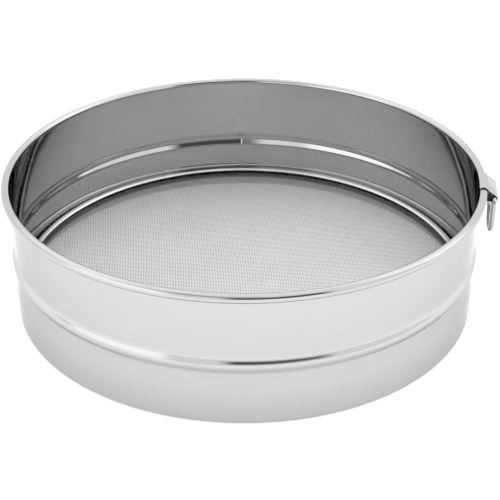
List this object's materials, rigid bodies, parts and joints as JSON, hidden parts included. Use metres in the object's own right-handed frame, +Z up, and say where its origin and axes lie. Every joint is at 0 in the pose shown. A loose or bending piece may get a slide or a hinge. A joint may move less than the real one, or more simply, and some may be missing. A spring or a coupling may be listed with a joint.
{
  "type": "soil sieve",
  "caption": "Round steel drum sieve with a rolled rim, a pressed bead, a fine woven-wire floor held by rings, and a strap with a swinging D-shaped hanging ring.",
  "frame": {"origin": "centre of the bounding box on the plane of the lower edge, 3.1 mm from the drum's axis on the hanging ring's side", "axes": "+Z up along the drum's axis, +X from the drum's axis towards the hanging ring, +Y to the left of it seen from outside"},
  "size_m": [0.3062, 0.3, 0.0861],
  "materials": {
    "drum_steel": "rolled stainless sheet, satin to bright",
    "rim_wire_steel": "drawn steel wire, hidden in the rim",
    "seat_ring_steel": "formed stainless angle ring, satin",
    "woven_wire_steel": "plain-weave stainless wire cloth",
    "clamp_ring_steel": "polished stainless sheet rolled to an open round section",
    "strap_steel": "bent stainless strip, satin to bright",
    "ring_steel": "polished round wire"
  },
  "bodies": {
    "sieve": {"drum_shell": "drum_steel", "rim_wire": "rim_wire_steel", "screen_seat_ring": "seat_ring_steel", "screen_cloth": "woven_wire_steel", "screen_clamp_ring": "clamp_ring_steel", "hanger_strap": "strap_steel"},
    "ring": {"hanging_ring": "ring_steel"}
  },
  "joints": [
    {"name": "ring_swing", "type": "hinge", "parent": "sieve", "child": "ring", "pos_m": [0.1505, 0, 0.0784], "axis": [0, -1, 0], "range_deg": [-13, 203]}
  ]
}
